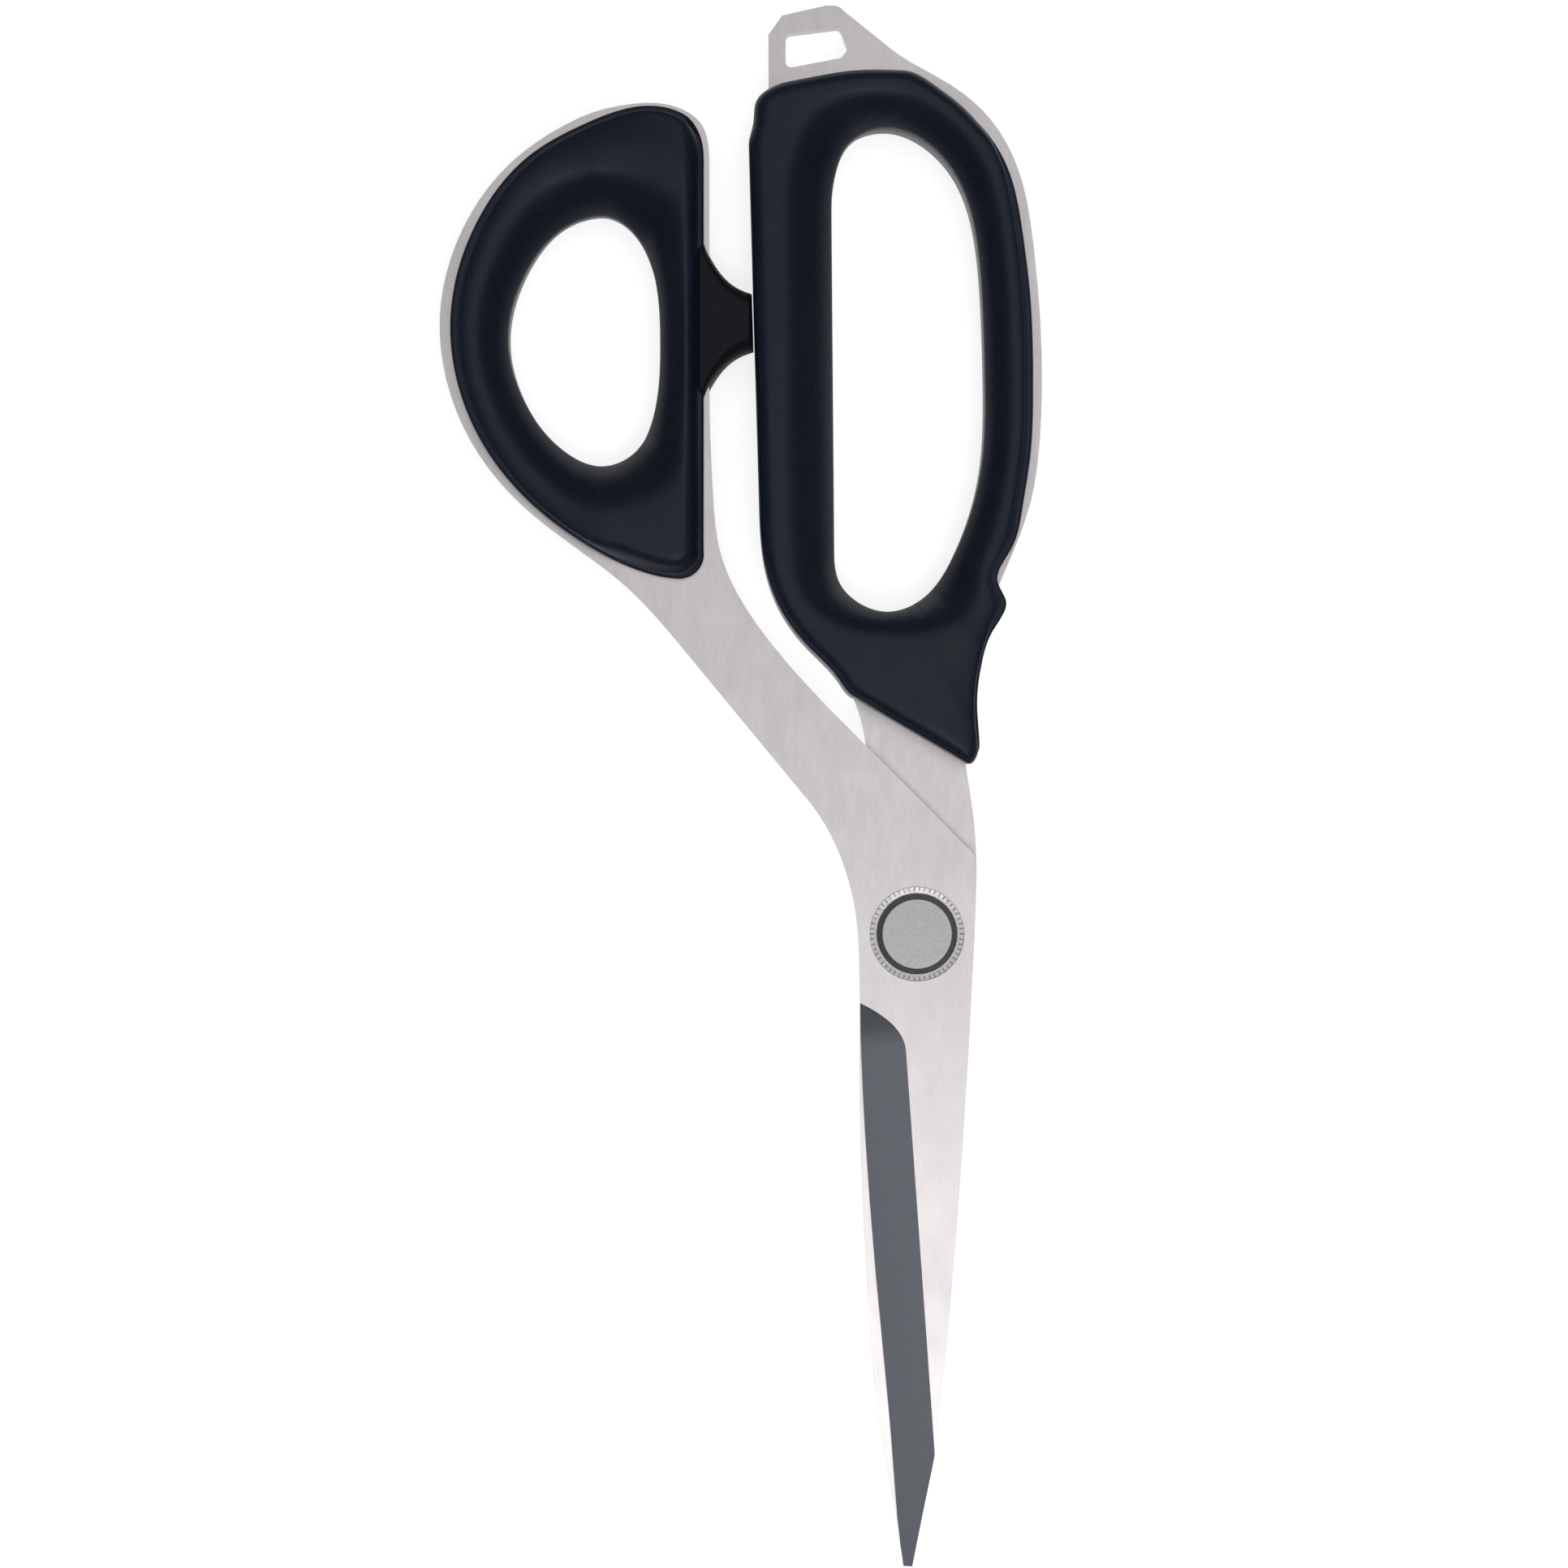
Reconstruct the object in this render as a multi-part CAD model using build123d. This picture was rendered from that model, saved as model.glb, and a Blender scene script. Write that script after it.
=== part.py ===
from build123d import *
from math import acos, atan2, cos, degrees, sin
import os

# Fabric shears, closed and lying flat. Millimetres.
# Origin: on the pivot axis, at the floor of the tension screw's coin slot, level with the rear
# face of the finger blade. +Y runs from the blades to the handles, +Z towards the thumb blade.

# ---- steel plates ----
PLATE_T = 2.6             # thickness of each blade plate
RIDE_GAP = 0.15           # running gap between the two plates
BLADE_LEN = 101.2         # pivot axis to the tip
HEEL_W = 18.4             # width of a blade across the pivot
TIP_X = -1.4              # the closed tips lie this far left of the pivot axis
TIP_W = 1.4               # width of the blunt tip
TIP_STEP = 0.3            # the finger blade's tip stops this much short of the thumb blade's
TAPER_LEN = 18.2          # length of the steeper taper that forms the tip
EDGE_START = 11.2         # pivot axis to the start of the cutting edge

# ---- ground bevels ----
BEVEL_HEEL = 18.6         # pivot axis to where the bevel reaches its full width
BEVEL_W = 7.35            # widest width of the bevel
BEVEL_LEAN = 1.75         # the bevel's inner border lies this far left of the pivot axis at its heel
EDGE_LAND = 0.35          # thickness left at the cutting edge by the bevel
RUNOUT_R = 17.5           # radius of the wheel-shaped run-out at the heel

# ---- finger openings ----
THUMB_OPEN_X = -65.2      # left side of the thumb opening
THUMB_OPEN_Y = 74.7       # lower end of the thumb opening
THUMB_OPEN_W = 24.3
THUMB_OPEN_L = 40.0
FINGER_OPEN_X = -13.6     # left side of the finger opening
FINGER_OPEN_Y = 51.3      # lower end of the finger opening
FINGER_OPEN_W = 24.4
FINGER_OPEN_L = 77.3

# ---- bands of grip around the openings ----
THUMB_BAND_OUT = 8.9      # left of the thumb opening
THUMB_BAND_IN = 6.9       # right of it
THUMB_BAND_TOP = 16.8
THUMB_BAND_END = 18.2     # below it, towards the blades
FINGER_BAND_IN = 13.2     # left of the finger opening
FINGER_BAND_OUT = 7.5     # right of it
FINGER_BAND_TOP = 8.4
FINGER_BAND_END = 24.3    # below it, down to the spur
GRIP_T = 16.0             # overall thickness of both grips
GRIP_ROUND = 2.4          # rounding of the covers' edges round the openings
LEDGE_W = 1.2             # the core shows past the cover as a ledge this wide
LEDGE_DROP = 1.7          # that ledge lies this far below the grip's face
FLANGE_W = 0.45           # narrow flange of the thumb core along its straight side
FLANGE_T = 1.4            # that flange over each face of the steel
CORE_LAP = 1.6            # core around the inner edge of the steel ring
SKIN = 1.6                # cover over the core inside the openings and along hidden edges
ANCHOR_R = 1.6            # moulding holes through the steel rings

# ---- steel that shows around the grips ----
THUMB_RIM_OUT = 2.0       # left of the thumb grip
THUMB_RIM_TOP = 0.9
THUMB_RIM_IN = 0.85       # right of it
FINGER_RIM_OUT = 1.8      # right of the finger grip
TAB_H = 11.65             # hang tab above the finger grip's top
TAB_LEFT = 3.2            # the tab's left side, in from the grip's left side
TAB_HOLE_W = 9.6
TAB_HOLE_H = 5.6
TAB_HOLE_R = 0.9          # corner radius of the hang hole

# ---- shank of the thumb blade ----
SHANK_OUT = (-20.1, 24.6)     # lower end of its straight outer side
SHANK_IN = (-12.3, 34.2)      # middle of its curved inner side
SHOULDER_Y = 14.0             # where the inner side meets the rounded shoulder beside the pivot

# ---- closing stop ----
STOP_GAP = 0.2            # stop face to the finger grip when closed
STOP_FACE_W = 9.1         # length of the stop's landing face
STOP_ROOT_W = 25.5        # length of its root on the thumb grip
STOP_Y = 97.7             # middle of the landing face, along the handles
STOP_T = 9.6              # thickness of the stop
STOP_KEY = 2.2            # depth of its root inside the thumb grip

# ---- pivot ----
JOURNAL_R = 4.0           # barrel of the pivot nut, on which the blades turn
JOURNAL_FIT = 0.03        # radial running clearance on the journal
HEAD_R = 6.45             # head of the pivot nut
HEAD_T = 0.9
HEAD_BEVEL = 0.95         # width of the polished bevel around the head
HEAD_BEVEL_H = 0.5
CUP_RING = 1.0            # the serrated washer stands out this far round the head
CUP_SINK = 0.75           # depth of its counterbore
CUP_FIT = 0.12            # radial gap around the washer
CUP_T = 0.5               # thickness of the washer under the head
CUP_RISE = 0.08           # its outer edge stands this much higher
CUP_TEETH = 54
TOOTH_W = 0.2             # side of the square cutter that leaves the notch between two teeth
TOOTH_LIFT = 0.08         # the cutter's axis runs this far above the washer's face
THRUST_RING = 3.5         # the thrust washer stands out this far round the journal
THRUST_T = 0.5
THRUST_FIT = 0.15         # radial gap around the thrust washer
AXIAL_FIT = 0.02          # axial gap at each face of a washer
SCREW_HEAD_RING = 3.0     # the screw head stands out this far round the journal
SCREW_PROUD = 0.7         # the screw head stands this far below the finger blade
SCREW_HEAD_UP = 0.5       # and its inner face is this far above the blade's rear face
SCREW_SINK = 1.1          # depth of the counterbore for it
SCREW_FIT = 0.2           # radial gap around the screw head
THREAD_R = 2.5            # the screw's thread, as a plain shank
THREAD_FIT = 0.05
SLOT_W = 1.3              # coin slot
SPRING_T = 0.22           # sheet thickness of the disc spring
SPRING_EDGE = 0.4         # the disc spring's edge lies this far in from the screw head's
BARREL_GAP = 0.1          # end of the pivot nut's barrel to the screw head
THREAD_END = 0.35         # steel left over the blind thread in the pivot nut's head
EDGE_BREAK = 0.25         # small chamfers on turned parts

# ---- levels and sides that follow from the sizes above ----
Z_FINGER = 0.0
Z_FINGER_TOP = PLATE_T
Z_THUMB = PLATE_T + RIDE_GAP
Z_THUMB_TOP = Z_THUMB + PLATE_T
Z_RIDE = PLATE_T + RIDE_GAP / 2
Z_GRIP = Z_RIDE - GRIP_T / 2
Z_GRIP_TOP = Z_RIDE + GRIP_T / 2
Z_CORE = Z_GRIP + LEDGE_DROP
Z_CORE_TOP = Z_GRIP_TOP - LEDGE_DROP

THUMB_L = THUMB_OPEN_X - THUMB_BAND_OUT
THUMB_R = THUMB_OPEN_X + THUMB_OPEN_W + THUMB_BAND_IN
THUMB_LO = THUMB_OPEN_Y - THUMB_BAND_END
THUMB_HI = THUMB_OPEN_Y + THUMB_OPEN_L + THUMB_BAND_TOP
FINGER_L = FINGER_OPEN_X - FINGER_BAND_IN
FINGER_R = FINGER_OPEN_X + FINGER_OPEN_W + FINGER_BAND_OUT
FINGER_LO = FINGER_OPEN_Y - FINGER_BAND_END
FINGER_HI = FINGER_OPEN_Y + FINGER_OPEN_L + FINGER_BAND_TOP

# the straight left side of the finger grip, which the closing stop lands on
FINGER_SIDE = [(FINGER_L + 1.6, FINGER_LO + 41.8), (FINGER_L, FINGER_HI - 12.0)]

# the waist between its horn and its spur, as fractions of the grip's width and length, with the
# share of the ledge's width that is left there
WAIST = [(0.855, 0.187, 0.6), (0.817, 0.137, 0.45), (0.803, 0.085, 0.35), (0.811, 0.027, 0.25)]

CUP_R = HEAD_R + CUP_RING
THRUST_R = JOURNAL_R + THRUST_RING
SCREW_HEAD_R = JOURNAL_R + SCREW_HEAD_RING
SPRING_R = SCREW_HEAD_R - SPRING_EDGE

Z_CUP_FLOOR = Z_THUMB_TOP - CUP_SINK
Z_NUT_HEAD = Z_CUP_FLOOR + CUP_T
Z_NUT_TOP = Z_NUT_HEAD + HEAD_T
Z_BARREL_END = SCREW_HEAD_UP + BARREL_GAP
Z_THREAD_TOP = Z_NUT_TOP - HEAD_BEVEL_H - THREAD_END

UP = (0, 1)


# ---- helpers ----

def in_box(x0, y0, x1, y1, fractions):
    """Points given as fractions of a box, (0, 0) lower left to (1, 1) upper right."""
    return [(x0 + fx * (x1 - x0), y0 + fy * (y1 - y0)) for fx, fy in fractions]


def curve(points, start, end):
    """A smooth curve through the points, leaving along start and arriving along end."""
    return Spline(*points, tangents=[start, end], tangent_scalars=[1.0, 1.0])


def direction(a, b):
    """The direction from one point to another."""
    return (b[0] - a[0], b[1] - a[1])


def slab(face, z0, z1):
    """A flat face made solid between two heights."""
    return Pos(0, 0, z0) * extrude(face, z1 - z0)


def ring(r_out, r_in, z0, z1):
    """A turned ring about the pivot axis."""
    body = Pos(0, 0, z0) * Cylinder(r_out, z1 - z0, align=(Align.CENTER, Align.CENTER, Align.MIN))
    return body - bore(r_in, z0, z1)


def bore(r, z0, z1):
    """A round cutter about the pivot axis."""
    return Pos(0, 0, z0) * Cylinder(r, z1 - z0, align=(Align.CENTER, Align.CENTER, Align.MIN))


def on_blade(points):
    """Points given as fractions of half the heel width and of the blade length."""
    return [(fx * HEEL_W / 2, fy * BLADE_LEN) for fx, fy in points]


def across(point):
    """A point mirrored across the line from the pivot to the closed tips."""
    x, y = point
    size = TIP_X ** 2 + BLADE_LEN ** 2
    k = 2 * (x * TIP_X - y * BLADE_LEN) / size
    return (k * TIP_X - x, -k * BLADE_LEN - y)


# ---- outlines of the openings ----

def thumb_opening(margin=0.0):
    """The egg-shaped thumb opening, or the same shape grown by a margin."""
    points = in_box(THUMB_OPEN_X - margin, THUMB_OPEN_Y - margin,
                    THUMB_OPEN_X + THUMB_OPEN_W + margin, THUMB_OPEN_Y + THUMB_OPEN_L + margin,
                    [(0.59, 1.0), (0.37, 0.955), (0.105, 0.76), (0.0, 0.50), (0.12, 0.24),
                     (0.40, 0.045), (0.61, 0.0), (0.82, 0.05), (0.972, 0.24), (1.0, 0.48),
                     (0.92, 0.83), (0.78, 0.957)])
    return make_face(Spline(*points, periodic=True))


def finger_opening(margin=0.0):
    """The long finger opening, straight on its left side."""
    x0 = FINGER_OPEN_X - margin
    x1 = FINGER_OPEN_X + FINGER_OPEN_W + margin
    y0 = FINGER_OPEN_Y - margin
    y1 = FINGER_OPEN_Y + FINGER_OPEN_L + margin
    around = in_box(x0, y0, x1, y1,
                    [(0.0, 0.835), (0.035, 0.92), (0.105, 0.967), (0.33, 1.0), (0.74, 0.933),
                     (0.905, 0.83), (0.948, 0.765), (0.985, 0.63), (1.0, 0.475), (0.972, 0.29),
                     (0.81, 0.125), (0.58, 0.025), (0.36, 0.0), (0.15, 0.025), (0.055, 0.06),
                     (0.018, 0.12)])
    side = Line(around[-1], around[0])
    return make_face(curve(around, UP, side % 0) + side)


# ---- outlines of the grips ----

def thumb_grip_outline(ledge=0.0, flange=0.0):
    """The small grip seen from the front, drawn in from the core's edge by a ledge and a flange."""
    x0 = THUMB_L + ledge
    x1 = THUMB_R - flange
    y0 = THUMB_LO + flange
    y1 = THUMB_HI - (ledge + flange) / 2
    around = in_box(x0, y0, x1, y1,
                    [(1.0, 0.895), (0.966, 0.961), (0.85, 0.995), (0.53, 0.96), (0.305, 0.89),
                     (0.105, 0.753), (0.0, 0.545), (0.077, 0.337), (0.25, 0.195), (0.47, 0.094),
                     (0.71, 0.025), (0.90, 0.001)])
    corner = in_box(x0, y0, x1, y1, [(0.90, 0.001), (0.972, 0.016), (1.0, 0.06)])
    bend = ThreePointArc(*corner)
    return make_face(curve(around, UP, bend % 0) + bend + Line(corner[2], around[0]))


def finger_grip_outline(ledge=0.0, skin=0.0):
    """The long grip seen from the front.

    The ledge draws in its right side, less and less below the horn. The skin draws in its left
    side and its top.
    """
    x0 = FINGER_L + skin
    x1 = FINGER_R - ledge
    y0 = FINGER_LO + skin / 2
    y1 = FINGER_HI - skin
    h = y1 - y0
    w = x1 - x0
    shoulder = (x0 + 0.56 * w, y1 - 0.05)
    right = in_box(x0, y0, x1, y1, [(0.67, 0.979), (0.785, 0.943), (0.903, 0.875), (0.96, 0.781),
                                    (0.99, 0.68), (1.0, 0.545), (0.988, 0.44), (0.963, 0.375),
                                    (0.918, 0.308)])
    notch = (x0 + 0.87 * w, y0 + 0.2625 * h)
    horn = [(notch[0] + 0.85, notch[1] - 1.9), (notch[0] + 1.4, notch[1] - 3.4),
            (notch[0] + 0.7, notch[1] - 5.6)]
    full = FINGER_R - FINGER_L
    waist = [(FINGER_L + fx * full - share * ledge, y0 + fy * h) for fx, fy, share in WAIST]
    spur = [(FINGER_L + 0.805 * full - 0.2 * ledge, y0 + 1.05),
            (FINGER_L + 0.775 * full - 0.1 * ledge, y0 + 0.1)]
    heel = (x0 + 0.375 * w, y0 + 0.0985 * h)
    low = in_box(x0, y0, x1, y1, [(0.325, 0.122), (0.215, 0.169), (0.105, 0.23), (0.048, 0.305)])
    side_low, left_top = [(x + skin, y) for x, y in FINGER_SIDE]
    low.append(side_low)
    corner = [(x0 + 0.75, y1 - 8.2), (x0 + 1.15, y1 - 5.0), (x0 + 2.9, y1 - 3.15),
              (x0 + 8.0, y1 - 1.5), (x0 + 15.5, y1 - 0.2)]
    under = direction(spur[-1], heel)
    side = direction(side_low, left_top)
    edges = curve([shoulder] + right + [notch] + horn + waist + spur, (1, -0.05), under)
    edges += Line(spur[-1], heel)
    edges += curve([heel] + low, under, side)
    edges += Line(side_low, left_top)
    edges += curve([left_top] + corner + [shoulder], side, (1, -0.05))
    return make_face(edges)


# ---- outlines of the steel plates ----

def cutting_edge():
    """Points of the thumb blade's cutting edge, from its heel to the tip."""
    start = (-0.985 * HEEL_W / 2, -EDGE_START)
    end = (TIP_X - TIP_W / 2, -BLADE_LEN)
    return [start] + on_blade([(-0.89, -0.32), (-0.665, -0.58), (-0.405, -0.836)]) + [end]


def blade_spine():
    """Points of the thumb blade's spine, from the start of the tip's taper up to the pivot."""
    start = (0.31 * HEEL_W / 2, TAPER_LEN - BLADE_LEN)
    return [start] + on_blade([(0.587, -0.579), (0.804, -0.322), (0.967, -0.065)])


def thumb_plate_outline():
    """The thumb blade, its shank and its ring as one outline."""
    x0 = THUMB_L - THUMB_RIM_OUT
    x1 = THUMB_R + THUMB_RIM_IN
    y0 = THUMB_LO
    y1 = THUMB_HI + THUMB_RIM_TOP
    edge = cutting_edge()
    spine = blade_spine()
    tip_right = (TIP_X + TIP_W / 2, -BLADE_LEN)
    shoulder = (0.845 * HEEL_W / 2, SHOULDER_Y)
    corner = (1.035 * HEEL_W / 2, 0.75 * SHOULDER_Y)
    ring_side = (x1, y0 + 0.42 * (y1 - y0))
    ring_top = (x1, y1 - 8.5)
    inner = [shoulder, SHANK_IN, (x1 + 8.6, y0 - 8.5), (x1 + 1.75, y0 + 4.5),
             (x1 + 0.6, y0 + 13.5), ring_side]
    around = [ring_top] + in_box(x0, y0, x1, y1,
                                 [(0.973, 0.955), (0.87, 0.994), (0.678, 0.996), (0.59, 0.985),
                                  (0.443, 0.948), (0.273, 0.88), (0.093, 0.745), (0.0, 0.54),
                                  (0.033, 0.402), (0.140, 0.267), (0.294, 0.162),
                                  (0.527, 0.058)])
    shank_top = (x1 - 4.2, y0 - 11.0)
    around += [(x1 - 13.8, y0 - 0.6), shank_top]
    half = HEEL_W / 2
    flank = [SHANK_OUT, (-1.73 * half, 19.4), (-1.28 * half, 11.3), (-1.027 * half, 1.0), edge[0]]
    shank = Line(shank_top, SHANK_OUT)
    edges = curve(around, UP, shank % 0) + shank + curve(flank, shank % 1, (0.04, -1))
    edges += curve(edge, (0.02, -1), (0.17, -1))
    edges += Line(edge[-1], tip_right)
    edges += curve([tip_right, (1.55, 11.6 - BLADE_LEN), spine[0]], (0.2, 1), (0.17, 1))
    edges += curve(spine + [(1.027 * HEEL_W / 2, 6.4), corner], (0.125, 1), (0.0, 1))
    edges += ThreePointArc(corner, (corner[0] - 0.45, corner[1] + 2.1), shoulder)
    edges += curve(inner, (-0.69, 0.72), UP)
    edges += Line(ring_side, ring_top)
    return make_face(edges)


def finger_plate_outline():
    """The finger blade, its tang, its ring and the hang tab as one outline."""
    x0 = FINGER_L + TAB_LEFT
    x1 = FINGER_R + FINGER_RIM_OUT
    y0 = FINGER_LO
    y1 = FINGER_HI
    tab_top = y1 + TAB_H
    edge = [across(point) for point in cutting_edge()]
    edge[-1] = (TIP_X + 0.45 * TIP_W, TIP_STEP - BLADE_LEN)
    tip_left = (TIP_X - 0.4 * TIP_W, TIP_STEP - BLADE_LEN)
    spine = [tip_left] + on_blade([(-0.543, -0.836), (-0.837, -0.579), (-0.967, -0.322)])
    spine += [(-0.98 * HEEL_W / 2, -EDGE_START)]
    tang_left = (-8.4, y0 + 5.4)
    tang_right = (7.9, y0)
    hip = (1.05 * HEEL_W / 2, 11.6)
    left_low = (x0 + 0.2, y0 + 40.0)
    edges = curve(spine, (-0.14, 1), (0.0, 1))
    edges += curve([spine[-1], (-8.55, 9.0), (-7.75, 24.0), tang_left, (-10.4, y0 + 11.4),
                    (-15.6, y0 + 19.5), (-20.4, y0 + 28.0), left_low], (0.0, 1), (-0.02, 1))
    edges += Line(left_low, (x0 - 0.1, tab_top - 4.7))
    edges += Line((x0 - 0.1, tab_top - 4.7), (x0 + 2.1, tab_top - 1.6))
    edges += Line((x0 + 2.1, tab_top - 1.6), (x0 + 9.1, tab_top))
    tab_end = (x0 + 10.5, tab_top)
    slope = [(x0 + 19.7, tab_top - 7.05), (x0 + 24.8, tab_top - 10.25)]
    edges += Line((x0 + 9.1, tab_top), tab_end)
    edges += ThreePointArc(tab_end, (x0 + 11.25, tab_top - 0.25), (x0 + 11.9, tab_top - 0.8))
    edges += Line((x0 + 11.9, tab_top - 0.8), slope[0])
    around = in_box(x0, y0, x1, y1, [(0.66, 0.992), (0.80, 0.946), (0.905, 0.877), (0.97, 0.758),
                                     (1.0, 0.60), (0.996, 0.49), (0.958, 0.38), (0.83, 0.25)])
    hidden = [(9.9, y0 + 20.0), (8.0, y0 + 10.0), tang_right]
    edges += curve(slope + around + hidden, (0.78, -0.62), (0.05, -1))
    edges += curve([tang_right, (8.75, y0 - 5.2), hip], (0.14, -1), (0.02, -1))
    edges += curve([hip, (1.01 * HEEL_W / 2, 0.0), edge[0]], (0.02, -1), (-0.04, -1))
    edges += curve(edge, (-0.03, -1), (-0.24, -1))
    edges += Line(edge[-1], tip_left)
    return make_face(edges)


def hang_hole():
    """The rounded, slightly tapering hole in the hang tab."""
    x0 = FINGER_L + TAB_LEFT + 2.65
    y0 = FINGER_HI + TAB_H - TAB_HOLE_H - 4.5
    w = TAB_HOLE_W
    h = TAB_HOLE_H
    corners = [(x0, y0), (x0 + 0.93 * w, y0 + 1.7), (x0 + 1.04 * w, y0 + 3.1),
               (x0 + 0.90 * w, y0 + h + 1.1), (x0, y0 + h)]
    face = make_face(Polyline(*corners, close=True))
    return fillet(face.vertices(), TAB_HOLE_R)


# ---- blades ----

def bevel_cutter():
    """What the grinding wheel takes off the thumb blade: the bevel and its run-out."""
    heel = (-BEVEL_LEAN, -BEVEL_HEEL)
    border_end = (0.31 * HEEL_W / 2, TAPER_LEN - BLADE_LEN)
    lean = Vector(border_end[0] - heel[0], border_end[1] - heel[1], 0).normalized()
    drop = (PLATE_T - EDGE_LAND) / BEVEL_W
    side = Vector(0, 0, 1).cross(lean) * -1
    down = (side - Vector(0, 0, drop)).normalized()
    wheel = Plane(origin=(heel[0], heel[1], Z_THUMB_TOP), x_dir=lean, z_dir=down)
    lift = 4 * PLATE_T
    swing = acos(1 - lift / RUNOUT_R)
    back = (-RUNOUT_R * sin(swing), lift)
    mid = (-RUNOUT_R * sin(swing / 2), RUNOUT_R * (1 - cos(swing / 2)))
    reach = 1.6 * BLADE_LEN
    profile = Line((0, 0), (reach, 0)) + Line((reach, 0), (reach, lift)) + Line((reach, lift), back)
    profile += ThreePointArc(back, mid, (0, 0))
    solid = extrude(wheel * make_face(profile), 3 * BEVEL_W)
    return solid + extrude(wheel * make_face(profile), -3 * BEVEL_W)


def finger_bevel_cutter():
    """The same cut on the finger blade: the thumb blade's turned half over about the closed line."""
    turn = Axis((0, 0, Z_RIDE), (TIP_X, -BLADE_LEN, 0))
    return bevel_cutter().rotate(turn, 180)


def anchor_holes(places):
    """Holes in a steel ring that the core is moulded through."""
    return [Pos(x, y, 0) * Circle(ANCHOR_R) for x, y in places]


def thumb_blade():
    """Front plate: bevel on the left, counterbore for the washer, thrust recess behind."""
    face = thumb_plate_outline() - thumb_opening(CORE_LAP + SKIN)
    middle = THUMB_L + 0.62 * (THUMB_R - THUMB_L)
    for hole in anchor_holes([(middle, THUMB_HI - 6.5), (middle + 8.0, THUMB_LO + 9.0)]):
        face -= hole
    plate = slab(face, Z_THUMB, Z_THUMB_TOP) - bevel_cutter()
    plate -= bore(JOURNAL_R + JOURNAL_FIT, Z_THUMB - 1, Z_THUMB_TOP + 1)
    plate -= bore(CUP_R + CUP_FIT, Z_THUMB_TOP - CUP_SINK, Z_THUMB_TOP + 1)
    return plate - bore(THRUST_R + THRUST_FIT, Z_THUMB - 1, Z_RIDE + THRUST_T / 2 + AXIAL_FIT)


def finger_blade():
    """Rear plate: bevel behind on the right, counterbore for the screw head, hang hole."""
    face = finger_plate_outline() - finger_opening(CORE_LAP + SKIN) - hang_hole()
    low = FINGER_OPEN_Y - CORE_LAP - SKIN
    places = [(FINGER_OPEN_X + 0.35 * FINGER_OPEN_W, low - 7.0),
              (FINGER_OPEN_X + 0.75 * FINGER_OPEN_W, low - 7.0),
              (FINGER_L + TAB_LEFT + 3.2, FINGER_HI - 8.0)]
    for hole in anchor_holes(places):
        face -= hole
    plate = slab(face, Z_FINGER, Z_FINGER_TOP) - finger_bevel_cutter()
    plate -= bore(JOURNAL_R + JOURNAL_FIT, Z_FINGER - 1, Z_FINGER_TOP + 1)
    plate -= bore(SCREW_HEAD_R + SCREW_FIT, Z_FINGER - 1, Z_FINGER + SCREW_SINK)
    return plate - bore(THRUST_R + THRUST_FIT, Z_RIDE - THRUST_T / 2 - AXIAL_FIT, Z_RIDE + 1)


# ---- grips ----

def grip_core(outline, opening, plate):
    """A hard core moulded over both faces of a steel ring and through its holes."""
    return slab(outline - opening, Z_CORE, Z_CORE_TOP) - plate


def thumb_core_outline():
    """The thumb core above its flange, drawn in on the right and below, where the cover wraps it."""
    inset = FLANGE_W + SKIN
    return thumb_grip_outline() & (Pos(-inset, inset, 0) * thumb_grip_outline())


def thumb_core_flange(opening, plate):
    """The low flange on which the thumb grip's cover stands along its straight side."""
    return slab(thumb_grip_outline() - opening, Z_THUMB - FLANGE_T, Z_THUMB_TOP + FLANGE_T) - plate


def grip_cover(outline, opening):
    """A soft cover before its core is let in: rounded where it lines the opening."""
    body = slab(outline, Z_GRIP, Z_GRIP_TOP)
    hole = slab(opening, Z_GRIP - 1, Z_GRIP_TOP + 1)
    body -= hole
    faces = body.faces().sort_by(Axis.Z)
    rims = faces[0].inner_wires()[0].edges() + faces[-1].inner_wires()[0].edges()
    return fillet(rims, GRIP_ROUND)


def closing_stop(plate):
    """The flared bumper: a root let into the thumb grip and a face that lands on the finger grip."""
    (xa, ya), (xb, yb) = FINGER_SIDE
    lean = (xb - xa) / (yb - ya)
    ends = []
    for way in (1, -1):
        face_y = STOP_Y + way * STOP_FACE_W / 2
        face_x = xa + lean * (face_y - ya) - STOP_GAP
        reach = face_x - THUMB_R
        rise = way * (STOP_ROOT_W - STOP_FACE_W) / 2
        flank = [(face_x - fx * reach, face_y + fy * rise)
                 for fx, fy in [(0, 0), (0.33, 0.13), (0.66, 0.41), (0.87, 0.72), (1.0, 1.0)]]
        ends.append(flank)
    upper, lower = ends
    key_top = (THUMB_R - STOP_KEY, upper[-1][1] - STOP_KEY)
    key_low = (THUMB_R - STOP_KEY, lower[-1][1] + STOP_KEY)
    edges = curve(upper, (-1, 0.3), (-0.25, 1)) + Line(upper[-1], key_top) + Line(key_top, key_low)
    edges += Line(key_low, lower[-1]) + curve(lower[::-1], (0.25, 1), (1, 0.3))
    edges += Line(lower[0], upper[0])
    return slab(make_face(edges), Z_RIDE - STOP_T / 2, Z_RIDE + STOP_T / 2) - plate


# ---- pivot ----

def pivot_nut():
    """Round head with a polished bevel, and the barrel both blades turn on."""
    head = bore(HEAD_R, Z_NUT_HEAD, Z_NUT_TOP)
    head = chamfer(head.edges().group_by(Axis.Z)[-1], HEAD_BEVEL_H, HEAD_BEVEL,
                   reference=head.faces().filter_by(GeomType.CYLINDER)[0])
    barrel = bore(JOURNAL_R, Z_BARREL_END, Z_NUT_HEAD)
    barrel = chamfer(barrel.edges().group_by(Axis.Z)[0], EDGE_BREAK)
    return head + barrel - bore(THREAD_R + THREAD_FIT, Z_BARREL_END - 1, Z_THREAD_TOP)


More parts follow.
